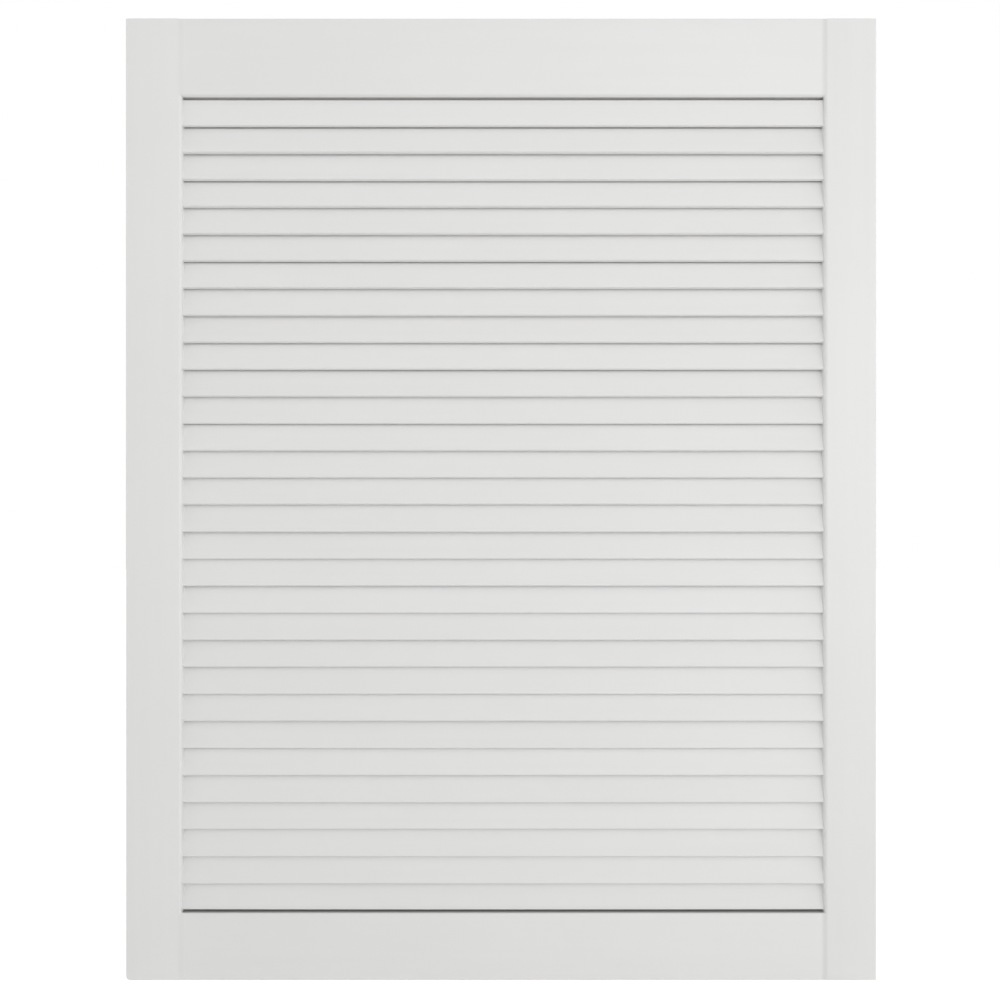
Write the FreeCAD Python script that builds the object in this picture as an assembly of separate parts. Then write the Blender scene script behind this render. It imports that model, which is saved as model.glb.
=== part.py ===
"""Louvred cupboard door leaf: two stiles, two rails and a bank of fixed, sloping slats.

Frame of the model, in millimetres: +X runs across the leaf from the hinge edge to the closing edge,
+Y runs from the front face to the back, +Z is up. The origin is the centre of the hinge edge, the
outer edge of the left stile.

The stiles run the full height and the rails are butted between them, flush on both faces. Each slat
is let into a sloping pocket in either stile, with its lower edge to the front and its upper edge to
the back. The highest slat stands more upright than the rest, and it and the lowest one are planed off
where they would run into the rails. The bottom rail is rebated for the lowest slat, so that its back
stands up behind that slat just as one slat more would. The slats are fixed: nothing on the leaf moves.
"""
import FreeCAD
import Part

import math
import os

# The leaf
LEAF_WIDTH = 480.0
LEAF_HEIGHT = 615.0
LEAF_THICKNESS = 21.0

# The frame round the slats
LEFT_STILE_WIDTH = 35.5
RIGHT_STILE_WIDTH = 33.0
TOP_RAIL_HEIGHT = 49.7
BOTTOM_RAIL_HEIGHT = 42.9   # at the front
ARRIS_EASE = 1.0            # radius of the outer edges of the leaf and of the bottom rail's edges
INNER_EASE = 2.2            # radius of the stiles' and the top rail's edges towards the slats

# The slats
SLAT_PITCH = 17.4           # wished for: the real pitch divides the room below the top rail evenly
SLAT_WIDTH = 30.0
SLAT_THICKNESS = 3.6
SLAT_ROUNDNESS = 0.28       # radius of a slat's edges as a share of its thickness
SLAT_LEAN = 16.0            # degrees from upright, top edge to the back
HIGHEST_SLAT_LEAN = 5.0
SLAT_SETBACK = 2.4          # from the front of the leaf to the slats' lower edges
BOTTOM_GAP = 0.7            # between the lowest slat and the bottom rail
TOP_GAP = 0.8               # between the highest slat and the top rail

# The pockets that hold the slats
POCKET_DEPTH = 7.0
POCKET_CLEARANCE = 0.1      # round the slat's section
END_CLEARANCE = 0.3         # from the slat's end to the bottom of its pocket

# Worked out from the sizes above
LEAF_BOTTOM = -LEAF_HEIGHT / 2
LEAF_TOP = LEAF_HEIGHT / 2
OPENING_BOTTOM = LEAF_BOTTOM + BOTTOM_RAIL_HEIGHT
OPENING_TOP = LEAF_TOP - TOP_RAIL_HEIGHT
OPENING_LEFT = LEFT_STILE_WIDTH
OPENING_RIGHT = LEAF_WIDTH - RIGHT_STILE_WIDTH
BANK_BOTTOM = OPENING_BOTTOM + BOTTOM_GAP
BANK_TOP = OPENING_TOP - TOP_GAP
SLAT_COUNT = max(1, round((BANK_TOP - OPENING_BOTTOM) / SLAT_PITCH))
TRUE_PITCH = (BANK_TOP - OPENING_BOTTOM) / SLAT_COUNT
POCKET_LEFT = OPENING_LEFT - POCKET_DEPTH
POCKET_RIGHT = OPENING_RIGHT + POCKET_DEPTH

# A slat's section is a rounded rectangle. Its corner circles have their centres on a smaller
# rectangle, which leans, so the section's reach along Y or Z is that rectangle's reach plus a diameter.
SLAT_EDGE_RADIUS = SLAT_ROUNDNESS * SLAT_THICKNESS
CORE_THICKNESS = SLAT_THICKNESS - 2 * SLAT_EDGE_RADIUS
FULL_CORE_WIDTH = SLAT_WIDTH - 2 * SLAT_EDGE_RADIUS

# Turns a bar that stands along Z so that it lies along X, with its section's X along Y and Y along Z
LAID_DOWN = FreeCAD.Rotation(FreeCAD.Vector(1, 1, 1), 120)


def rounded_bar(corners, radii, length):
    """A bar that stands on the XY plane. Its section's corners are rounded, or left sharp at radius 0."""
    points = [FreeCAD.Vector(*corner) for corner in corners]
    edges = []
    ends = []
    for number, (here, radius) in enumerate(zip(points, radii)):
        before = (points[number - 1] - here).normalize()
        after = (points[(number + 1) % len(points)] - here).normalize()
        half_angle = before.getAngle(after) / 2
        start = here + before * (radius / math.tan(half_angle))
        end = here + after * (radius / math.tan(half_angle))
        if radius > 0:
            inward = (before + after).normalize()
            middle = here + inward * (radius / math.sin(half_angle) - radius)
            edges.append(Part.Arc(start, middle, end).toShape())
        ends.append((start, end))
    for number, (_, end) in enumerate(ends):
        edges.append(Part.makeLine(end, ends[(number + 1) % len(ends)][0]))
    section = Part.Face(Part.Wire(Part.__sortEdges__(edges)))
    return section.extrude(FreeCAD.Vector(0, 0, length))


def rectangle(width, depth):
    """The corners of a rectangle from the origin, anticlockwise."""
    return [(0, 0), (width, 0), (width, depth), (0, depth)]


def slat_bottom(number):
    """Height of the lowest point of a whole slat, counted from 0 at the bottom of the bank."""
    return OPENING_BOTTOM + number * TRUE_PITCH


def slat_lean(number):
    """Lean of a slat, in radians."""
    return math.radians(HIGHEST_SLAT_LEAN if number == SLAT_COUNT - 1 else SLAT_LEAN)


def slat_top(number):
    """Height of the highest point of a whole slat."""
    lean = slat_lean(number)
    core_reach = FULL_CORE_WIDTH * math.cos(lean) + CORE_THICKNESS * math.sin(lean)
    return slat_bottom(number) + core_reach + 2 * SLAT_EDGE_RADIUS


def front_circle(number):
    """Place of the centre of a slat's lower front corner circle, from front to back and in height."""
    depth = -LEAF_THICKNESS / 2 + SLAT_SETBACK + SLAT_EDGE_RADIUS
    height = slat_bottom(number) + SLAT_EDGE_RADIUS + CORE_THICKNESS * math.sin(slat_lean(number))
    return depth, height


def slat_front(number, height):
    """Where the sloping front face of a slat is, from front to back, at a given height."""
    lean = slat_lean(number)
    circle_depth, circle_height = front_circle(number)
    face_foot = circle_height + SLAT_EDGE_RADIUS * math.sin(lean)
    return circle_depth - SLAT_EDGE_RADIUS * math.cos(lean) + (height - face_foot) * math.tan(lean)


def planed_off(number):
    """How much of a slat's width the rails take off at its lower edge and at its upper edge."""
    below = max(0, BANK_BOTTOM - slat_bottom(number))
    above = max(0, slat_top(number) - BANK_TOP)
    return below / math.cos(slat_lean(number)), above / math.cos(slat_lean(number))


def slat_bar(number, left, right, clearance=0.0):
    """A slat's section from left to right, or the space round it where a clearance is given."""
    below, above = planed_off(number)
    radius = SLAT_EDGE_RADIUS + clearance
    thickness = CORE_THICKNESS + 2 * radius
    width = FULL_CORE_WIDTH - below - above + 2 * radius
    bar = rounded_bar(rectangle(thickness, width), [radius] * 4, right - left)
    bar.translate(FreeCAD.Vector(-radius, below - radius, 0))
    leaning = FreeCAD.Rotation(FreeCAD.Vector(1, 0, 0), -math.degrees(slat_lean(number)))
    bar.Placement = FreeCAD.Placement(FreeCAD.Vector(), leaning.multiply(LAID_DOWN)).multiply(bar.Placement)
    bar.translate(FreeCAD.Vector(left, *front_circle(number)))
    return bar


def slat(number):
    """One slat, with both ends short of the bottoms of their pockets."""
    return slat_bar(number, POCKET_LEFT + END_CLEARANCE, POCKET_RIGHT - END_CLEARANCE)


def pockets():
    """The spaces that the slats need, each from its pocket in one stile to its pocket in the other."""
    return [slat_bar(number, POCKET_LEFT, POCKET_RIGHT, POCKET_CLEARANCE) for number in range(SLAT_COUNT)]


def stile(left, width, left_radius, right_radius):
    """A stile that runs the full height, with a pocket for the end of every slat."""
    radii = [left_radius, right_radius, right_radius, left_radius]
    bar = rounded_bar(rectangle(width, LEAF_THICKNESS), radii, LEAF_HEIGHT)
    bar.translate(FreeCAD.Vector(left, -LEAF_THICKNESS / 2, LEAF_BOTTOM))
    return bar.cut(pockets())


def rail(corners, radii, bottom):
    """A rail between the stiles. Its section's corners are given from its front and its bottom."""
    bar = rounded_bar(corners, radii, OPENING_RIGHT - OPENING_LEFT)
    place = FreeCAD.Vector(OPENING_LEFT, -LEAF_THICKNESS / 2, bottom)
    bar.Placement = FreeCAD.Placement(place, LAID_DOWN).multiply(bar.Placement)
    return bar


def top_rail():
    """The plain top rail, flush with the stiles on both faces."""
    radii = [INNER_EASE, INNER_EASE, ARRIS_EASE, ARRIS_EASE]
    return rail(rectangle(LEAF_THICKNESS, TOP_RAIL_HEIGHT), radii, OPENING_TOP)


def bottom_rail():
    """The bottom rail, rebated along the face that one slat more, below the lowest one, would have."""
    spare = -1
    rebate_top = slat_top(spare)
    foot_depth = slat_front(spare, OPENING_BOTTOM) + LEAF_THICKNESS / 2
    top_depth = slat_front(spare, rebate_top) + LEAF_THICKNESS / 2
    back_height = rebate_top - LEAF_BOTTOM
    corners = {
        (0, 0): ARRIS_EASE,
        (LEAF_THICKNESS, 0): ARRIS_EASE,
        (LEAF_THICKNESS, back_height): ARRIS_EASE,
        (top_depth, back_height): ARRIS_EASE,
        (foot_depth, BOTTOM_RAIL_HEIGHT): 0,
        (0, BOTTOM_RAIL_HEIGHT): ARRIS_EASE,
    }
    return rail(list(corners), list(corners.values()), LEAF_BOTTOM)


def leaf_pieces():
    """Every piece of the leaf by name. Slats are numbered from the bottom up."""
    pieces = {
        "left_stile": stile(0, LEFT_STILE_WIDTH, ARRIS_EASE, INNER_EASE),
        "right_stile": stile(OPENING_RIGHT, RIGHT_STILE_WIDTH, INNER_EASE, ARRIS_EASE),
        "top_rail": top_rail(),
        "bottom_rail": bottom_rail(),
    }
    for number in range(SLAT_COUNT):
        pieces[f"slat_{number + 1:02d}"] = slat(number)
    return pieces


def main():
    os.makedirs("parts", exist_ok=True)
    for name, shape in leaf_pieces().items():
        shape.exportStep(f"parts/{name}.step")
        box = shape.BoundBox
        print(f"{name}: {shape.Volume / 1000:.1f} cm3, valid {shape.isValid()}, "
              f"y {box.YMin:.2f} to {box.YMax:.2f}, z {box.ZMin:.2f} to {box.ZMax:.2f}")
    print(f"{SLAT_COUNT} slats at a pitch of {TRUE_PITCH:.3f} mm")


main()
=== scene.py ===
"""Louvred door: its painted boards, its bank of slats, a plain stage and the camera.

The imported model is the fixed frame. The boards and slats take their places from its nodes, so the
painted pieces stand where the solids are. Lengths are metres, +Y points to the back of the leaf.
"""
import math
from functools import partial

import bmesh
import bpy
from bpy.props import FloatProperty, FloatVectorProperty, IntProperty, PointerProperty
from bpy.types import Operator, Panel, PropertyGroup
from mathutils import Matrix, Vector


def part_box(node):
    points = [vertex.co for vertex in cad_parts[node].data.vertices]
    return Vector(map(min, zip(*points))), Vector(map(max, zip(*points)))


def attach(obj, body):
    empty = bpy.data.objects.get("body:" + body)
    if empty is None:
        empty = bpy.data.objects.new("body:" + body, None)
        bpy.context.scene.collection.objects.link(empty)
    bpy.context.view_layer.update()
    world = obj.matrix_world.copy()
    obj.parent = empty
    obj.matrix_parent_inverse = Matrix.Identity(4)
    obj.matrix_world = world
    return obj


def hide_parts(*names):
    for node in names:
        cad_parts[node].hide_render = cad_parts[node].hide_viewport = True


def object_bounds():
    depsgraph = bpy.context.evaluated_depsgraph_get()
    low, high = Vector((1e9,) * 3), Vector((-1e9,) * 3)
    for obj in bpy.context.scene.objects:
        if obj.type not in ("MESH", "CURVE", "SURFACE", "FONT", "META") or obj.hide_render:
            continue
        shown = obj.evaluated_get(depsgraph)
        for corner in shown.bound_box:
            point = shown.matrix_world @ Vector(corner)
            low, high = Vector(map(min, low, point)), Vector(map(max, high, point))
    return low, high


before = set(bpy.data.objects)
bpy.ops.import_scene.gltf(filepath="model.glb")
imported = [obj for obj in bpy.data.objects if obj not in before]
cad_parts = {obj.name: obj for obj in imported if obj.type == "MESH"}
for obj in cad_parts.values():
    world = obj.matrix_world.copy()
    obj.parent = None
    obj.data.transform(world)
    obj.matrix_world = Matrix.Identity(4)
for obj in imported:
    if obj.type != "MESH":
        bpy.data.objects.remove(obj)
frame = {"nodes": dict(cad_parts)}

bl_info = {
    "name": "Louvred door",
    "version": (1, 0, 0),
    "blender": (4, 5, 0),
    "location": "View3D > Sidebar > Louvred door",
    "description": "Builds a painted louvred door leaf on its frame, with a stage and a camera",
    "category": "Object",
}

CAD_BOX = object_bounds()
LEAF_LOW, LEAF_HIGH = CAD_BOX
LEAF_MIDDLE = (LEAF_LOW + LEAF_HIGH) / 2
SLAT_NODES = sorted(name for name in frame["nodes"] if name.startswith("slat_"))
LOWEST_SLAT_LOW, LOWEST_SLAT_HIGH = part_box(SLAT_NODES[0])
WHOLE_SLAT_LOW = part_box(SLAT_NODES[1])[0]
SLAT_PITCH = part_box(SLAT_NODES[2])[0].z - WHOLE_SLAT_LOW.z
HIGHEST_SLAT_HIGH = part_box(SLAT_NODES[-1])[1]
RAIL_LIP = WHOLE_SLAT_LOW.z - SLAT_PITCH  # the slats are set out upwards from the bottom rail's front edge
BODY = "root"

# Where the leaf stands in the photograph, in pixels of its square frame
PHOTO_PX = 1000.0
LEAF_LEFT_PX = 126.0
LEAF_RIGHT_PX = 876.2
LEAF_TOP_PX = 18.2
LEAF_BOTTOM_PX = 980.5

QUARTER_TURN = math.pi / 2

# How finely the meshes are divided
ARC_STEPS = 6
EASE_STEPS = 4
WORN_STEPS = 8
SLAT_STEPS = 24
GROOVE_STEPS = 4
SHARP_TURN = math.radians(40.0)  # an edge that turns further is shaded sharp

# Which way the grain of a board runs, as an axis of the frame
GRAIN_ACROSS = 0
GRAIN_UP = 2

# Noises in the paint: waves a metre across the grain, waves a metre along it, levels of detail
FIGURE_NOISE = (160.0, 5.0, 3.0)
BRUSH_NOISE = (900.0, 14.0, 2.0)
WEAR_NOISE = (60.0, 60.0, 4.0)
CLOUD_NOISE = (9.0, 9.0, 3.0)
PORE_NOISE = (700.0, 700.0, 1.0)
NOISE_RANGE = (0.3, 0.7)  # where most of a noise lies
BOARD_STRETCH = 9.0       # how far apart in the noises two boards can lie
FRAME_BOARD = 0.5         # place of the stiles and rails in that stretch, from 0 to 1

# How much thinner the paint gets at most, from 0 for thick paint to 1 for the thin colour
FIGURE_THINNING = 0.16
CLOUD_THINNING = 0.24
BOARD_THINNING = 0.16
WEAR_THINNING = 0.5

# Relief of the paint: its strength, and its height in metres
FIGURE_RELIEF = (0.05, 0.0004)
BRUSH_RELIEF = (0.06, 0.0002)
PORE_RELIEF = (0.03, 0.0002)

PAINT_ROUGHNESS = (0.40, 0.52)
PAINT_IOR = 1.46
SLIT_BLUR = 0.0004  # how softly the painted shade begins behind the edge of the next slat

# The slats' random draws. Each is added to the seed, so that no two are alike.
BOW_DRAW = 1
BOARD_DRAW = 2
HEIGHT_DRAW = 3
LEAN_DRAW = 4
DEPTH_DRAW = 5
SHADE_DRAW = 6

# The stage
FLOOR_HALF = 4.0
FLOOR_COLOUR = (0.92, 0.92, 0.92, 1.0)
FLOOR_GLOW = 0.7
WHITE = (1.0, 1.0, 1.0, 1.0)
SENSOR_WIDTH = 36.0  # in millimetres


class FrameSettings(PropertyGroup):
    """Sizes of the stiles and rails that their nodes' boxes don't give."""

    arris: FloatProperty(
        name="Arris", description="Radius of the outer edges of the leaf and of the bottom rail's edges",
        default=0.001, min=0.0, unit="LENGTH")
    inner_arris: FloatProperty(
        name="Inner arris", description="Radius of the stiles' and the top rail's edges towards the slats",
        default=0.0022, min=0.0, unit="LENGTH")
    stile_ends: FloatProperty(
        name="Stile ends", description="Radius of the edges at the sawn ends of the stiles",
        default=0.0004, min=0.0, unit="LENGTH")
    rail_ends: FloatProperty(
        name="Rail ends", description="Radius of the edges at the rails' ends, where they meet the stiles",
        default=0.0022, min=0.0, unit="LENGTH")
    worn_corner: FloatProperty(
        name="Worn corner",
        description="Radius of the left stile's lower outer corner, which is knocked round",
        default=0.0026, min=0.0, unit="LENGTH")
    # Painted shade: the rails' slits are darkened in colour from this far behind the rounding of their
    # edges.
    shade_setback: FloatProperty(
        name="Shade setback",
        description="How far behind the rounding of the rails' edges the painted shade begins",
        default=0.0008, min=0.0, unit="LENGTH")
    left_sink: FloatProperty(
        name="Left joint",
        description="How far the paint lies below the face in the left stile's joints",
        default=0.00005, min=0.0, unit="LENGTH")
    right_sink: FloatProperty(
        name="Right joint",
        description="How far the paint lies below the face in the right stile's joints",
        default=0.00025, min=0.0, unit="LENGTH")
    # Painted shade: how much the middle of each stile's joint hollows is darkened in colour.
    left_hollow_shade: FloatProperty(
        name="Left hollow shade",
        description="How much painted shade darkens the middle of the left stile's joints",
        default=0.06, min=0.0, max=1.0, subtype="FACTOR")
    right_hollow_shade: FloatProperty(
        name="Right hollow shade",
        description="How much painted shade darkens the middle of the right stile's joints",
        default=0.20, min=0.0, max=1.0, subtype="FACTOR")


class SlatSettings(PropertyGroup):
    """Section of the slats and how far they stray from true."""

    width: FloatProperty(
        name="Width", description="Width of a whole slat", default=0.030, min=0.0, unit="LENGTH")
    thickness: FloatProperty(
        name="Thickness", description="Thickness of a slat", default=0.0036, min=0.0, unit="LENGTH")
    roundness: FloatProperty(
        name="Roundness", description="Radius of a slat's edges as a share of its thickness",
        default=0.28, min=0.0, max=0.49, subtype="FACTOR")
    lean: FloatProperty(
        name="Lean", description="Lean of the slats from upright, top edge to the back",
        default=math.radians(16.0), subtype="ANGLE")
    highest_lean: FloatProperty(
        name="Highest lean",
        description="Lean of the highest slat, which stands more upright than the rest",
        default=math.radians(5.0), subtype="ANGLE")
    height_play: FloatProperty(
        name="Height play", description="How far a slat may sit above or below its place",
        default=0.00012, min=0.0, unit="LENGTH")
    depth_play: FloatProperty(
        name="Depth play", description="How far a slat may sit in front of or behind its place",
        default=0.0003, min=0.0, unit="LENGTH")
    lean_play: FloatProperty(
        name="Lean play", description="How far a slat's lean may differ from the rest",
        default=math.radians(0.6), min=0.0, subtype="ANGLE")
    bow: FloatProperty(
        name="Bow", description="How far the middle of a slat may rise or sag",
        default=0.00015, min=0.0, unit="LENGTH")
    # Painted shade: a share of the slats is darkened on the face behind the next slat's edge.
    shade_share: FloatProperty(
        name="Shade share",
        description="Share of the slats with painted shade on the face behind the next slat's edge",
        default=0.3, min=0.0, max=1.0, subtype="FACTOR")
    seed: IntProperty(name="Seed", description="Picks one set of small differences", default=77173, min=0)


class PaintSettings(PropertyGroup):
    """The satin paint."""

    colour: FloatVectorProperty(
        name="Colour", description="Colour of the paint where it lies thick", subtype="COLOR", size=3,
        min=0.0, max=1.0, default=(0.81, 0.81, 0.805))
    thin_colour: FloatVectorProperty(
        name="Thin colour", description="Colour of the paint where it is thin over the wood",
        subtype="COLOR", size=3, min=0.0, max=1.0, default=(0.765, 0.762, 0.745))
    # Painted shade: the colour laid in the rails' slits, behind the slats' edges and in the joints'
    # hollows.
    shade_colour: FloatVectorProperty(
        name="Shade colour", description="Colour of the painted shade deep in the slits and the joints' hollows",
        subtype="COLOR", size=3, min=0.0, max=1.0, default=(0.40, 0.395, 0.38))


class StageSettings(PropertyGroup):
    """Camera and light."""

    camera_distance: FloatProperty(
        name="Camera distance", description="From the camera to the front of the leaf",
        default=0.68, min=0.1, unit="LENGTH")
    room_light: FloatProperty(
        name="Room light", description="Strength of the room's light at the height of the leaf",
        default=1.08, min=0.0)
    overhead_share: FloatProperty(
        name="Overhead share",
        description="Share of the room's light that is left straight above and below",
        default=0.15, min=0.0, max=1.0, subtype="FACTOR")
    right_gain: FloatProperty(
        name="Right gain", description="How much stronger the room's light is from the right",
        default=0.15, min=0.0, max=1.0, subtype="FACTOR")
    side_gain: FloatProperty(
        name="Side gain", description="How much stronger the room's light is from either side",
        default=1.0, min=0.0, max=1.0, subtype="FACTOR")
    upper_gain: FloatProperty(
        name="Upper gain", description="How much stronger the room's light is from above",
        default=0.1, min=0.0, max=1.0, subtype="FACTOR")
    lamp_power: FloatProperty(
        name="Lamp power", description="Power of the soft lamp in front of the leaf", default=1.85,
        min=0.0, unit="POWER")
    lamp_size: FloatProperty(
        name="Lamp size", description="Side of the soft lamp", default=0.5, min=0.0, unit="LENGTH")
    lamp_place: FloatVectorProperty(
        name="Lamp place", description="From the middle of the leaf to the soft lamp", size=3,
        subtype="TRANSLATION", unit="LENGTH", default=(0.55, -1.0, 0.14))


class DoorSettings(PropertyGroup):
    """All settings of the door, by group."""

    frame: PointerProperty(type=FrameSettings)
    slats: PointerProperty(type=SlatSettings)
    paint: PointerProperty(type=PaintSettings)
    stage: PointerProperty(type=StageSettings)


class NodeSheet:
    """Adds nodes to a tree and joins their sockets."""

    def __init__(self, tree):
        self.tree = tree

    def add(self, kind, values=None, **settings):
        """A new node. Values are sockets to link or numbers to set, by an input's name or position."""
        node = self.tree.nodes.new(kind)
        for name, value in settings.items():
            setattr(node, name, value)
        for key, value in (values or {}).items():
            self.put(node, key, value)
        return node

    def put(self, node, key, value):
        """Links or sets one input of a node."""
        if isinstance(key, int):
            socket = node.inputs[key]
        else:
            socket = next(each for each in node.inputs if each.name == key and each.enabled)
        if isinstance(value, bpy.types.NodeSocket):
            self.tree.links.new(value, socket)
        else:
            socket.default_value = value

    def out(self, kind, values=None, **settings):
        """The first live output of a new node."""
        node = self.add(kind, values, **settings)
        return next(each for each in node.outputs if each.enabled)

    def math(self, operation, first, second=0.0):
        """The result of a sum on one or two numbers."""
        return self.out("ShaderNodeMath", {0: first, 1: second}, operation=operation)

    def blend(self, factor, first, second):
        """A colour between two others."""
        return self.out("ShaderNodeMix", {"Factor": factor, "A": first, "B": second}, data_type="RGBA")


def link_object(name, mesh):
    """A new object at the origin that shows a mesh."""
    obj = bpy.data.objects.new(name, mesh)
    bpy.context.scene.collection.objects.link(obj)
    return obj


def finish_piece(obj, slot, *nodes):
    """Smooths a painted piece, lets it ride on the leaf and puts it in the place of its nodes."""
    obj.data.shade_smooth()
    obj.data.set_sharp_from_angle(angle=SHARP_TURN)
    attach(obj, BODY)
    if nodes:
        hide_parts(*nodes)


def edge_depth(distance, radius):
    """How far a rounded edge stands back from its corner, at a distance from the end of the piece."""
    if distance >= radius:
        return 0.0
    return radius - math.sqrt(radius ** 2 - (radius - distance) ** 2)


def arc_distances(radius, steps):
    """Distances from the end of a piece at which its rounded edge gets a ring of points."""
    return [radius * (1 - math.cos(QUARTER_TURN * step / steps)) for step in range(steps + 1)]


def corner(across, up, radius=0.0, painted_shade=0.0):
    """A corner of a section: its place, the radius of its rounding and how much painted shade it gets."""
    return Vector((across, up)), radius, painted_shade


def rectangle(low, high, left_radius, right_radius):
    """The corners of a rectangular section, anticlockwise, with a radius for either side."""
    return [corner(low[0], low[1], left_radius), corner(high[0], low[1], right_radius),
            corner(high[0], high[1], right_radius), corner(low[0], high[1], left_radius)]


def rounded_ring(section, inset=0.0):
    """Points round a section that may be drawn in by an inset: place, share of an arris, painted shade."""
    normals = []
    for number, (here, _, _) in enumerate(section):
        following = section[(number + 1) % len(section)][0]
        along = (following - here).normalized()
        normals.append(Vector((-along.y, along.x)))
    ring = []
    for number, (here, radius, painted_shade) in enumerate(section):
        before = normals[number - 1]
        after = normals[number]
        centre = here + (before + after) * ((inset + radius) / (1 + before.dot(after)))
        start = math.atan2(-before.y, -before.x)
        turn = math.atan2(before.cross(after), before.dot(after))
        steps = ARC_STEPS if radius > 0 else 0
        for step in range(steps + 1):
            share = step / max(steps, 1)
            angle = start + turn * share
            point = centre + radius * Vector((math.cos(angle), math.sin(angle)))
            arris = 1 - abs(2 * share - 1) if steps else 0.0
            ring.append((point, arris, painted_shade))
    return ring


def loft(name, rings):
    """A closed mesh through rings of points. A point has its place, share of an arris and painted shade."""
    mesh = bpy.data.meshes.new(name)
    shape = bmesh.new()
    arris_layer = shape.verts.layers.float.new("arris")
    # how much painted shade darkens each point, deep in slits and hollows
    shade_layer = shape.verts.layers.float.new("painted_shade")
    board_layer = shape.verts.layers.float.new("board")
    rows = []
    for ring in rings:
        row = []
        for place, arris, painted_shade in ring:
            vert = shape.verts.new(place)
            vert[arris_layer] = arris
            vert[shade_layer] = painted_shade
            vert[board_layer] = FRAME_BOARD
            row.append(vert)
        rows.append(row)
    for lower, upper in zip(rows, rows[1:]):
        for number in range(len(lower)):
            following = (number + 1) % len(lower)
            shape.faces.new((lower[number], lower[following], upper[following], upper[number]))
    shape.faces.new(reversed(rows[0]))
    shape.faces.new(rows[-1])
    bmesh.ops.recalc_face_normals(shape, faces=shape.faces)
    shape.to_mesh(mesh)
    shape.free()
    return mesh


def eased_places(start, end, start_radius, end_radius):
    """Places along a piece, close together at its ends, each with how far the rounding stands back."""
    places = {}
    for distance in arc_distances(start_radius, EASE_STEPS):
        places[start + distance] = edge_depth(distance, start_radius)
    for distance in arc_distances(end_radius, EASE_STEPS):
        places[end - distance] = edge_depth(distance, end_radius)
    return places


def stile_mesh(node, sizes, left_arris, right_arris, worn_corner=0.0):
    """A stile in the place of its node, with its lower left corner worn round if asked for."""
    low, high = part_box(node)
    places = eased_places(low.z, high.z, sizes.stile_ends, sizes.stile_ends)
    for distance in arc_distances(worn_corner, WORN_STEPS):
        places[low.z + distance] = edge_depth(distance, sizes.stile_ends)
    rings = []
    for height, inset in sorted(places.items()):
        worn = edge_depth(height - low.z, worn_corner)
        section = rectangle((low.x + worn, low.y), (high.x, high.y), left_arris, right_arris)
        ring = rounded_ring(section, inset)
        rings.append([((point.x, point.y, height), arris, painted_shade) for point, arris, painted_shade in ring])
    return loft("painted_" + node, rings)


def rail_mesh(node, sizes, section):
    """A rail in the place of its node. Its section is given by where its front and its back lie."""
    low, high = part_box(node)
    rings = []
    for across, inset in sorted(eased_places(low.x, high.x, sizes.rail_ends, sizes.rail_ends).items()):
        ring = rounded_ring(section(low.y + inset, high.y - inset))
        rings.append([((across, point.x, point.y), arris, painted_shade) for point, arris, painted_shade in ring])
    return loft("painted_" + node, rings)


def slat_front(slats, height):
    """Where the sloping front face of the second lowest slat is, from front to back, at a height."""
    radius = slats.roundness * slats.thickness
    core = slats.thickness - 2 * radius
    foot = WHOLE_SLAT_LOW.z + radius + (core + radius) * math.sin(slats.lean)
    return WHOLE_SLAT_LOW.y + radius * (1 - math.cos(slats.lean)) + (height - foot) * math.tan(slats.lean)


def top_rail_section(sizes, front, back):
    """The top rail's section, with painted shade on its underside above the highest slat."""
    low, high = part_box("top_rail")
    return [
        corner(front, low.z, sizes.inner_arris),
        # painted shade under the rail, from behind its rounding to the back of the highest slat
        corner(front + sizes.inner_arris + sizes.shade_setback, low.z, painted_shade=1.0),
        corner(HIGHEST_SLAT_HIGH.y, low.z, painted_shade=1.0),
        corner(back, low.z, sizes.inner_arris),
        corner(back, high.z, sizes.arris),
        corner(front, high.z, sizes.arris),
    ]


def bottom_rail_section(sizes, slats, front, back):
    """The bottom rail's section, rebated along the face that one slat more would have, with painted shade.
    """
    low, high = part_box("bottom_rail")
    up_two = 2 * SLAT_PITCH  # the slat whose front face is known stands two pitches above that one
    return [
        corner(front, low.z, sizes.arris),
        corner(back, low.z, sizes.arris),
        corner(back, high.z, sizes.arris),
        corner(slat_front(slats, high.z + up_two), high.z, sizes.arris),
        # painted shade on the rail's top under the lowest slat, from the rebate's foot to behind the
        # rounding
        corner(slat_front(slats, RAIL_LIP + up_two), RAIL_LIP, painted_shade=1.0),
        corner(front + sizes.arris + sizes.shade_setback, RAIL_LIP, painted_shade=1.0),
        corner(front, RAIL_LIP, sizes.arris),
    ]


def groove_rings(joint, face, inward, places, half_width, sink, hollow_shade):
    """Rings of a run of paint that fills the groove of a joint up to a shallow hollow, with painted shade
    in its middle.
    """
    rings = []
    for height, inset in sorted(places.items()):
        ring = [((joint, face + inward * (half_width + inset), height), 0.0, hollow_shade)]
        for step in range(-GROOVE_STEPS, GROOVE_STEPS + 1):
            share = step / GROOVE_STEPS
            depth = sink * (1 - abs(share)) ** 2 + inset
            place = (joint + half_width * share, face + inward * depth, height)
            ring.append((place, 0.0, hollow_shade * (1 - share ** 2)))
        rings.append(ring)
    return rings


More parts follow.
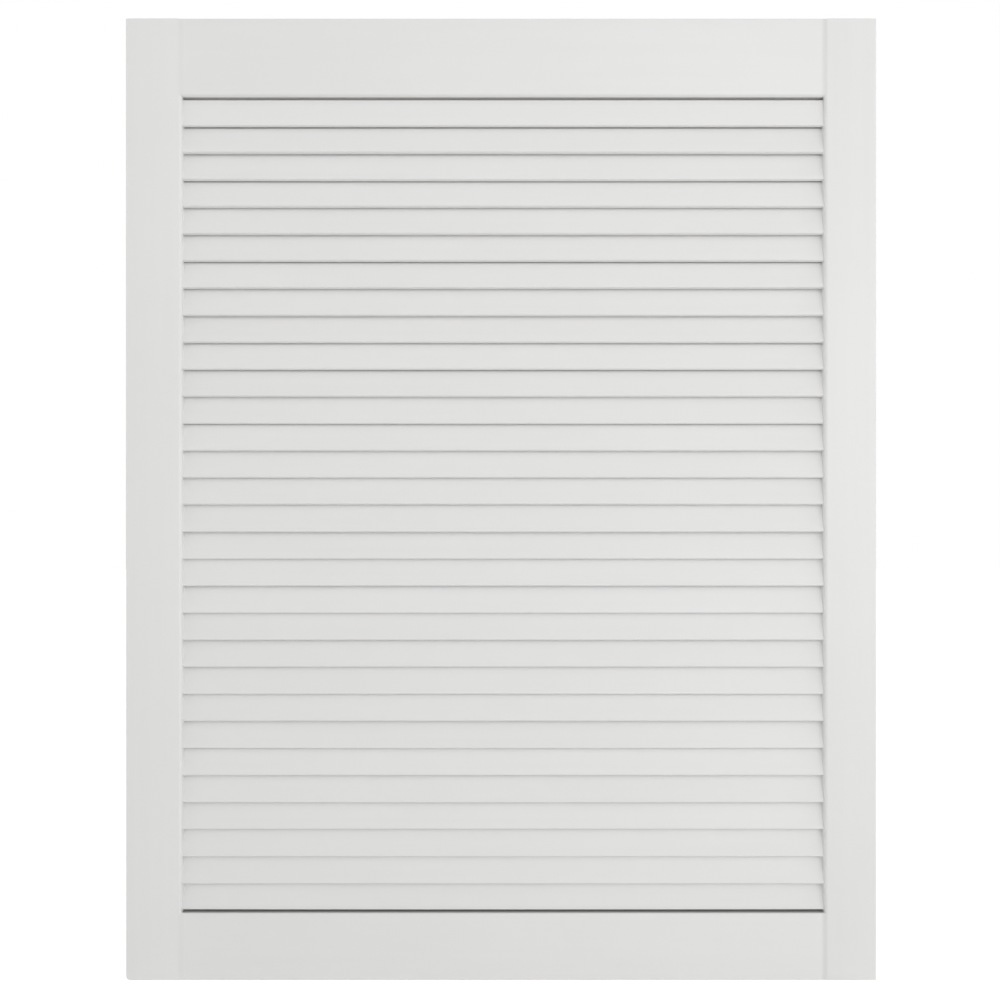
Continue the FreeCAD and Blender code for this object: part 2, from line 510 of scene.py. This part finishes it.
def painted_wood(name, grain_axis, settings):
    """Satin paint brushed along the grain, a little thinner on the arrises and over the wood's figure."""
    paint = settings.paint
    slats = settings.slats
    material = bpy.data.materials.new(name)
    material.use_nodes = True
    material.node_tree.nodes.clear()
    sheet = NodeSheet(material.node_tree)

    def attribute(name):
        return sheet.add("ShaderNodeAttribute", attribute_name=name).outputs["Fac"]

    # Each slat has its own stretch of the noises, and the stiles and rails share one.
    board = attribute("board")
    apart = sheet.out("ShaderNodeCombineXYZ", {"X": board, "Y": board, "Z": board})
    apart = sheet.out("ShaderNodeVectorMath", {0: apart, "Scale": BOARD_STRETCH}, operation="SCALE")
    place = sheet.add("ShaderNodeTexCoord").outputs["Object"]
    place = sheet.out("ShaderNodeVectorMath", {0: place, 1: apart}, operation="ADD")

    def noise(across, along, detail):
        """Noise with so many waves a metre across the grain and along it."""
        scale = [across, across, across]
        scale[grain_axis] = along
        stretched = sheet.out("ShaderNodeMapping", {"Vector": place, "Scale": scale})
        return sheet.out("ShaderNodeTexNoise", {"Vector": stretched, "Scale": 1.0, "Detail": detail})

    def ramp(value, start, end, low=0.0, high=1.0):
        """A value that goes from low to high while another goes from start to end."""
        return sheet.out("ShaderNodeMapRange", {"Value": value, "From Min": start, "From Max": end,
                                                "To Min": low, "To Max": high})

    def thinning(value, most):
        """A share of thin paint that follows a noise."""
        return ramp(value, *NOISE_RANGE, high=most)

    def raised(height, relief, **below):
        """The normal of a relief that follows a noise, on top of the normal below it, if one is given."""
        strength, rise = relief
        return sheet.out("ShaderNodeBump", {"Height": height, "Strength": strength, "Distance": rise,
                                            **below})

    figure = noise(*FIGURE_NOISE)
    brush = noise(*BRUSH_NOISE)
    thin = sheet.math("MULTIPLY", attribute("arris"), thinning(noise(*WEAR_NOISE), WEAR_THINNING))
    thin = sheet.math("ADD", thin, thinning(figure, FIGURE_THINNING))
    thin = sheet.math("ADD", thin, thinning(noise(*CLOUD_NOISE), CLOUD_THINNING))
    thin = sheet.math("ADD", thin, sheet.math("MULTIPLY", board, BOARD_THINNING))
    tint = sheet.blend(thin, (*paint.colour, 1.0), (*paint.thin_colour, 1.0))

    # Painted shade on some slats, from where the next slat's edge stands in front, and in the rails' slits
    # and joints.
    mouth = (SLAT_PITCH - slats.thickness * math.sin(slats.lean)) / math.cos(slats.lean)
    slit_shade = ramp(attribute("slit_shade"), mouth - SLIT_BLUR, mouth + SLIT_BLUR)
    painted_shade = sheet.math("MAXIMUM", attribute("painted_shade"), slit_shade)
    tint = sheet.blend(painted_shade, tint, (*paint.shade_colour, 1.0))

    normal = raised(figure, FIGURE_RELIEF)
    normal = raised(brush, BRUSH_RELIEF, Normal=normal)
    normal = raised(noise(*PORE_NOISE), PORE_RELIEF, Normal=normal)
    roughness = ramp(brush, *NOISE_RANGE, *PAINT_ROUGHNESS)
    shader = sheet.out("ShaderNodeBsdfPrincipled", {"Base Color": tint, "Roughness": roughness,
                                                    "IOR": PAINT_IOR, "Normal": normal})
    sheet.add("ShaderNodeOutputMaterial", {"Surface": shader})
    return material


def slat_tree():
    """Node tree that makes the bank of slats: one slat, set out by the pitch with small differences."""
    tree = bpy.data.node_groups.new("slat_bank", "GeometryNodeTree")
    sheet = NodeSheet(tree)
    numbers = ("Left", "Right", "Front", "First Height", "Pitch", "Bottom Limit", "Top Limit", "Width",
               "Thickness", "Edge Radius", "Lean", "Highest Lean", "Height Play", "Depth Play", "Lean Play",
               "Bow", "Shade Share")
    kinds = dict.fromkeys(numbers, "NodeSocketFloat")
    kinds["Count"] = "NodeSocketInt"
    kinds["Seed"] = "NodeSocketInt"
    kinds["Paint"] = "NodeSocketMaterial"
    for name, kind in kinds.items():
        tree.interface.new_socket(name, in_out="INPUT", socket_type=kind)
    tree.interface.new_socket("Slats", in_out="OUTPUT", socket_type="NodeSocketGeometry")
    given = sheet.add("NodeGroupInput").outputs

    def play(reach, draw):
        """A random number for each slat, from minus the reach to the reach."""
        low = sheet.math("MULTIPLY", reach, -1.0)
        seed = sheet.math("ADD", given["Seed"], draw)
        return sheet.out("FunctionNodeRandomValue", {"Min": low, "Max": reach, "Seed": seed},
                         data_type="FLOAT")

    def chance(draw):
        """A random number for each slat, from 0 to 1."""
        return sheet.math("ADD", play(0.5, draw), 0.5)

    def store(geometry, name, value):
        return sheet.out("GeometryNodeStoreNamedAttribute", {"Geometry": geometry, "Name": name,
                                                            "Value": value}, data_type="FLOAT")

    def recall(name):
        return sheet.out("GeometryNodeInputNamedAttribute", {"Name": name}, data_type="FLOAT")

    def vector(across=0.0, back=0.0, up=0.0):
        return sheet.out("ShaderNodeCombineXYZ", {"X": across, "Y": back, "Z": up})

    def position(axis):
        place = sheet.out("GeometryNodeInputPosition")
        return sheet.add("ShaderNodeSeparateXYZ", {0: place}).outputs[axis]

    # One slat stands upright, with the centre line of its lower front edge's rounding on the X axis.
    diameter = sheet.math("MULTIPLY", given["Edge Radius"], 2.0)
    core_width = sheet.math("SUBTRACT", given["Width"], diameter)
    core_thickness = sheet.math("SUBTRACT", given["Thickness"], diameter)
    section = sheet.out("GeometryNodeCurvePrimitiveQuadrilateral",
                        {"Width": given["Thickness"], "Height": given["Width"]})
    section = sheet.out("GeometryNodeFilletCurve", {"Curve": section, "Radius": given["Edge Radius"],
                                                   "Count": ARC_STEPS}, mode="POLY")
    path = sheet.out("GeometryNodeCurvePrimitiveLine", {"Start": vector(given["Left"]),
                                                       "End": vector(given["Right"])})
    path = sheet.out("GeometryNodeResampleCurve", {"Curve": path, "Count": SLAT_STEPS + 1})
    path = sheet.out("GeometryNodeSetCurveNormal", {"Curve": path}, mode="Z_UP")
    slat = sheet.out("GeometryNodeCurveToMesh", {"Curve": path, "Profile Curve": section,
                                                "Fill Caps": True})
    height = position("Z")
    slat = store(slat, "upper", sheet.math("GREATER_THAN", height, 0.0))
    slat = store(slat, "front", sheet.math("LESS_THAN", position("Y"), 0.0))
    slat = store(slat, "rise", sheet.math("ADD", height, sheet.math("MULTIPLY", given["Width"], 0.5)))
    half_core = sheet.math("MULTIPLY", core_width, 0.5)
    beyond = sheet.math("SUBTRACT", sheet.math("ABSOLUTE", height), half_core)
    slat = store(slat, "arris", sheet.math("DIVIDE", beyond, given["Edge Radius"]))
    half_thickness = sheet.math("MULTIPLY", core_thickness, 0.5)
    slat = sheet.out("GeometryNodeTransform", {"Geometry": slat,
                                              "Translation": vector(0.0, half_thickness, half_core)})

    # The slats' places and leans, and how much is planed off a slat that would run into a rail
    start = vector(0.0, sheet.math("ADD", given["Front"], given["Edge Radius"]),
                   sheet.math("ADD", given["First Height"], given["Edge Radius"]))
    places = sheet.out("GeometryNodeMeshLine", {"Count": given["Count"], "Start Location": start,
                                               "Offset": vector(0.0, 0.0, given["Pitch"])})
    last = sheet.math("SUBTRACT", given["Count"], 1.0)
    highest = sheet.math("COMPARE", sheet.out("GeometryNodeInputIndex"), last)
    lean = sheet.out("ShaderNodeMix", {"Factor": highest, "A": given["Lean"], "B": given["Highest Lean"]})
    places = store(places, "lean", lean)
    lean_sine = sheet.math("SINE", recall("lean"))
    lean_cosine = sheet.math("COSINE", recall("lean"))
    foot = sheet.math("MULTIPLY", core_thickness, lean_sine)
    reach = sheet.math("ADD", sheet.math("MULTIPLY", core_width, lean_cosine), given["Edge Radius"])
    top = sheet.math("ADD", position("Z"), sheet.math("ADD", foot, reach))
    bottom = sheet.math("SUBTRACT", position("Z"), given["Edge Radius"])
    above = sheet.math("SUBTRACT", top, given["Top Limit"])
    below = sheet.math("SUBTRACT", given["Bottom Limit"], bottom)
    for name, excess in (("above", above), ("below", below)):
        planed = sheet.math("DIVIDE", sheet.math("MAXIMUM", excess, 0.0), lean_cosine)
        places = store(places, name, planed)
    places = store(places, "sag", play(given["Bow"], BOW_DRAW))
    places = store(places, "board", chance(BOARD_DRAW))
    # Painted shade: the slats picked at random to be darkened behind the next slat's edge.
    shaded_slat = sheet.math("LESS_THAN", chance(SHADE_DRAW), given["Shade Share"])
    places = store(places, "shaded_slat", shaded_slat)
    raised = sheet.math("ADD", foot, play(given["Height Play"], HEIGHT_DRAW))
    shift = vector(0.0, play(given["Depth Play"], DEPTH_DRAW), raised)
    places = sheet.out("GeometryNodeSetPosition", {"Geometry": places, "Offset": shift})
    turn = vector(sheet.math("SUBTRACT", play(given["Lean Play"], LEAN_DRAW), recall("lean")))
    bank = sheet.out("GeometryNodeInstanceOnPoints", {"Points": places, "Instance": slat,
                                                     "Rotation": turn})
    bank = sheet.out("GeometryNodeRealizeInstances", {"Geometry": bank})

    # A planed slat's edge is moved in along the lean, and every slat bows a little. On a slat picked for
    # painted shade, a point on the front keeps how far up the slat it lies, so that the paint darkens it
    # behind the next slat's edge.
    either = sheet.math("ADD", recall("above"), recall("below"))
    planed = sheet.math("SUBTRACT", recall("below"), sheet.math("MULTIPLY", recall("upper"), either))
    slit_shade = sheet.math("MULTIPLY", recall("front"), recall("shaded_slat"))
    bank = store(bank, "slit_shade", sheet.math("MULTIPLY", slit_shade, sheet.math("ADD", recall("rise"), planed)))
    share = sheet.out("ShaderNodeMapRange", {"Value": position("X"), "From Min": given["Left"],
                                             "From Max": given["Right"], "To Min": -1.0, "To Max": 1.0})
    hump = sheet.math("SUBTRACT", 1.0, sheet.math("POWER", share, 2.0))
    bowed = sheet.math("MULTIPLY", recall("sag"), hump)
    moved = vector(0.0, sheet.math("MULTIPLY", planed, lean_sine),
                   sheet.math("ADD", sheet.math("MULTIPLY", planed, lean_cosine), bowed))
    bank = sheet.out("GeometryNodeSetPosition", {"Geometry": bank, "Offset": moved})
    bank = sheet.out("GeometryNodeSetMaterial", {"Geometry": bank, "Material": given["Paint"]})
    sheet.add("NodeGroupOutput", {"Slats": bank})
    return tree


class LOUVREDOOR_OT_frame(Operator):
    """Builds the stiles and rails"""

    bl_idname = "louvredoor.frame"
    bl_label = "Stiles and rails"

    def execute(self, context):
        settings = context.scene.louvre_door
        sizes = settings.frame
        upright_paint = painted_wood("stile_paint", GRAIN_UP, settings)
        level_paint = painted_wood("rail_paint", GRAIN_ACROSS, settings)
        boards = {
            "left_stile": stile_mesh("left_stile", sizes, sizes.arris, sizes.inner_arris,
                                     sizes.worn_corner),
            "right_stile": stile_mesh("right_stile", sizes, sizes.inner_arris, sizes.arris),
            "top_rail": rail_mesh("top_rail", sizes, partial(top_rail_section, sizes)),
            "bottom_rail": rail_mesh("bottom_rail", sizes,
                                     partial(bottom_rail_section, sizes, settings.slats)),
        }
        for node, mesh in boards.items():
            mesh.materials.append(upright_paint if node.endswith("stile") else level_paint)
            finish_piece(link_object(mesh.name, mesh), "frame_paint", node)
        return {"FINISHED"}


class LOUVREDOOR_OT_joint_paint(Operator):
    """Fills the grooves of the four joints with paint, on both faces, with painted shade in their hollows
    """

    bl_idname = "louvredoor.joint_paint"
    bl_label = "Paint in the joints"

    def execute(self, context):
        settings = context.scene.louvre_door
        sizes = settings.frame
        meshes = []
        for node in ("top_rail", "bottom_rail"):
            low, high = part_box(node)
            lower_radius = sizes.inner_arris if node == "top_rail" else sizes.arris
            front_top = high.z if node == "top_rail" else RAIL_LIP
            faces = ((low.y, 1.0, front_top), (high.y, -1.0, high.z))
            # each joint with how deep its paint lies and how much painted shade its hollow gets
            joints = ((low.x, sizes.left_sink, sizes.left_hollow_shade),
                      (high.x, sizes.right_sink, sizes.right_hollow_shade))
            for face, inward, top in faces:
                places = eased_places(low.z, top, lower_radius, sizes.arris)
                for joint, sink, hollow_shade in joints:
                    rings = groove_rings(joint, face, inward, places, sizes.inner_arris, sink, hollow_shade)
                    meshes.append(loft("joint_paint", rings))
        shape = bmesh.new()
        for mesh in meshes:
            shape.from_mesh(mesh)
        runs = bpy.data.meshes.new("joint_paint_runs")
        shape.to_mesh(runs)
        shape.free()
        for mesh in meshes:
            bpy.data.meshes.remove(mesh)
        runs.materials.append(bpy.data.materials["stile_paint"])
        finish_piece(link_object("joint_paint", runs), "frame_paint")
        return {"FINISHED"}


class LOUVREDOOR_OT_slats(Operator):
    """Builds the bank of slats"""

    bl_idname = "louvredoor.slats"
    bl_label = "Slats"

    def execute(self, context):
        settings = context.scene.louvre_door
        sizes = settings.slats
        values = {
            "Count": len(SLAT_NODES),
            "Left": LOWEST_SLAT_LOW.x,
            "Right": LOWEST_SLAT_HIGH.x,
            "Front": WHOLE_SLAT_LOW.y,
            "First Height": RAIL_LIP,
            "Pitch": SLAT_PITCH,
            "Bottom Limit": LOWEST_SLAT_LOW.z,
            "Top Limit": HIGHEST_SLAT_HIGH.z,
            "Width": sizes.width,
            "Thickness": sizes.thickness,
            "Edge Radius": sizes.roundness * sizes.thickness,
            "Lean": sizes.lean,
            "Highest Lean": sizes.highest_lean,
            "Height Play": sizes.height_play,
            "Depth Play": sizes.depth_play,
            "Lean Play": sizes.lean_play,
            "Bow": sizes.bow,
            "Shade Share": sizes.shade_share,
            "Seed": sizes.seed,
            "Paint": painted_wood("slat_paint", GRAIN_ACROSS, settings),
        }
        maker = link_object("slat_maker", bpy.data.meshes.new("slat_maker"))
        tree = slat_tree()
        modifier = maker.modifiers.new("Slats", "NODES")
        modifier.node_group = tree
        for item in tree.interface.items_tree:
            if item.in_out == "INPUT":
                modifier[item.identifier] = values[item.name]
        graph = context.evaluated_depsgraph_get()
        bank = bpy.data.meshes.new_from_object(maker.evaluated_get(graph))
        maker.modifiers.remove(modifier)
        bpy.data.objects.remove(maker)
        if not bank.polygons:
            raise RuntimeError("The slat tree made no faces")
        bank.name = "slat_bank"
        finish_piece(link_object("slat_bank", bank), "slat_paint", *SLAT_NODES)
        return {"FINISHED"}


class LOUVREDOOR_OT_stage(Operator):
    """Lays the floor, lights the room and places the camera"""

    bl_idname = "louvredoor.stage"
    bl_label = "Stage"

    def execute(self, context):
        settings = context.scene.louvre_door.stage
        context.scene.view_settings.view_transform = "Standard"
        self.floor()
        self.room_light(context.scene, settings)
        self.lamp(context.scene, settings)
        self.camera(context.scene, settings)
        return {"FINISHED"}

    def seen_directly(self, sheet):
        """1 for rays from the camera and for mirror images and views through glass, 0 for other light."""
        rays = sheet.add("ShaderNodeLightPath").outputs
        seen = sheet.math("MAXIMUM", rays["Is Camera Ray"], rays["Is Glossy Ray"])
        return sheet.math("MAXIMUM", seen, rays["Is Transmission Ray"])

    def floor(self):
        """A pale floor under the leaf that looks white where no shadow lies."""
        mesh = bpy.data.meshes.new("floor")
        corners = [(LEAF_MIDDLE.x + FLOOR_HALF * across, LEAF_MIDDLE.y + FLOOR_HALF * deep, LEAF_LOW.z)
                   for across, deep in ((-1, -1), (1, -1), (1, 1), (-1, 1))]
        mesh.from_pydata(corners, [], [(0, 1, 2, 3)])
        material = bpy.data.materials.new("pale_floor")
        material.use_nodes = True
        material.node_tree.nodes.clear()
        sheet = NodeSheet(material.node_tree)
        glow = sheet.math("MULTIPLY", self.seen_directly(sheet), FLOOR_GLOW)
        shine = sheet.out("ShaderNodeEmission", {"Strength": glow})
        matt = sheet.out("ShaderNodeBsdfDiffuse", {"Color": FLOOR_COLOUR})
        both = sheet.out("ShaderNodeAddShader", {0: shine, 1: matt})
        sheet.add("ShaderNodeOutputMaterial", {"Surface": both})
        mesh.materials.append(material)
        link_object("floor", mesh)

    def room_light(self, scene, settings):
        """Light from the whole room, strongest at the height of the leaf, and a white background."""
        world = bpy.data.worlds.new("room")
        world.use_nodes = True
        world.node_tree.nodes.clear()
        sheet = NodeSheet(world.node_tree)
        direction = sheet.add("ShaderNodeTexCoord").outputs["Generated"]
        direction = sheet.add("ShaderNodeSeparateXYZ", {0: direction}).outputs
        lost = sheet.math("MULTIPLY", sheet.math("ABSOLUTE", direction["Z"]), 1 - settings.overhead_share)
        level = sheet.math("MULTIPLY", sheet.math("SUBTRACT", 1.0, lost), settings.room_light)
        sideways = sheet.math("POWER", direction["X"], 2.0)
        gains = ((direction["X"], settings.right_gain), (sideways, settings.side_gain),
                 (direction["Z"], settings.upper_gain))
        for amount, gain in gains:
            share = sheet.math("MULTIPLY", amount, gain)
            level = sheet.math("MULTIPLY", level, sheet.math("ADD", share, 1.0))
        light = sheet.out("ShaderNodeBackground", {"Color": WHITE, "Strength": level})
        view = sheet.out("ShaderNodeBackground", {"Color": WHITE, "Strength": 1.0})
        mixed = sheet.out("ShaderNodeMixShader", {0: self.seen_directly(sheet), 1: light, 2: view})
        sheet.add("ShaderNodeOutputWorld", {"Surface": mixed})
        scene.world = world

    def lamp(self, scene, settings):
        """A soft lamp in front of the leaf, above its middle and to the right, aimed at its middle."""
        light = bpy.data.lights.new("front_lamp", "AREA")
        light.energy = settings.lamp_power
        light.size = settings.lamp_size
        lamp = bpy.data.objects.new("front_lamp", light)
        offset = Vector(settings.lamp_place)
        lamp.location = LEAF_MIDDLE + offset
        lamp.rotation_euler = (-offset).to_track_quat("-Z", "Y").to_euler()
        scene.collection.objects.link(lamp)

    def camera(self, scene, settings):
        """A camera square to the leaf that frames it as the photograph does."""
        metres_per_px = (LEAF_HIGH.z - LEAF_LOW.z) / (LEAF_BOTTOM_PX - LEAF_TOP_PX)
        middle_px = PHOTO_PX / 2
        across = LEAF_MIDDLE.x + (middle_px - (LEAF_LEFT_PX + LEAF_RIGHT_PX) / 2) * metres_per_px
        height = LEAF_MIDDLE.z - (middle_px - (LEAF_TOP_PX + LEAF_BOTTOM_PX) / 2) * metres_per_px
        lens = bpy.data.cameras.new("camera")
        lens.sensor_width = SENSOR_WIDTH
        lens.lens = SENSOR_WIDTH * settings.camera_distance / (PHOTO_PX * metres_per_px)
        camera = bpy.data.objects.new("camera", lens)
        camera.location = (across, LEAF_LOW.y - settings.camera_distance, height)
        camera.rotation_euler = (QUARTER_TURN, 0.0, 0.0)
        scene.collection.objects.link(camera)
        scene.camera = camera


OPERATORS = (LOUVREDOOR_OT_frame, LOUVREDOOR_OT_joint_paint, LOUVREDOOR_OT_slats, LOUVREDOOR_OT_stage)


class LOUVREDOOR_PT_panel(Panel):
    """The door's settings and steps"""

    bl_idname = "LOUVREDOOR_PT_panel"
    bl_label = "Louvred door"
    bl_space_type = "VIEW_3D"
    bl_region_type = "UI"
    bl_category = "Louvred door"

    def draw(self, context):
        settings = context.scene.louvre_door
        for operator in OPERATORS:
            self.layout.operator(operator.bl_idname)
        for group in (settings.frame, settings.slats, settings.paint, settings.stage):
            column = self.layout.box().column()
            for name in group.__annotations__:
                column.prop(group, name)


GROUPS = (FrameSettings, SlatSettings, PaintSettings, StageSettings, DoorSettings)
CLASSES = (*GROUPS, *OPERATORS, LOUVREDOOR_PT_panel)


def register():
    for each in CLASSES:
        bpy.utils.register_class(each)
    bpy.types.Scene.louvre_door = PointerProperty(type=DoorSettings)


def unregister():
    del bpy.types.Scene.louvre_door
    for each in reversed(CLASSES):
        bpy.utils.unregister_class(each)


def main():
    register()
    bpy.ops.louvredoor.frame()
    bpy.ops.louvredoor.joint_paint()
    bpy.ops.louvredoor.slats()
    bpy.ops.louvredoor.stage()


if __name__ == "__main__":
    main()
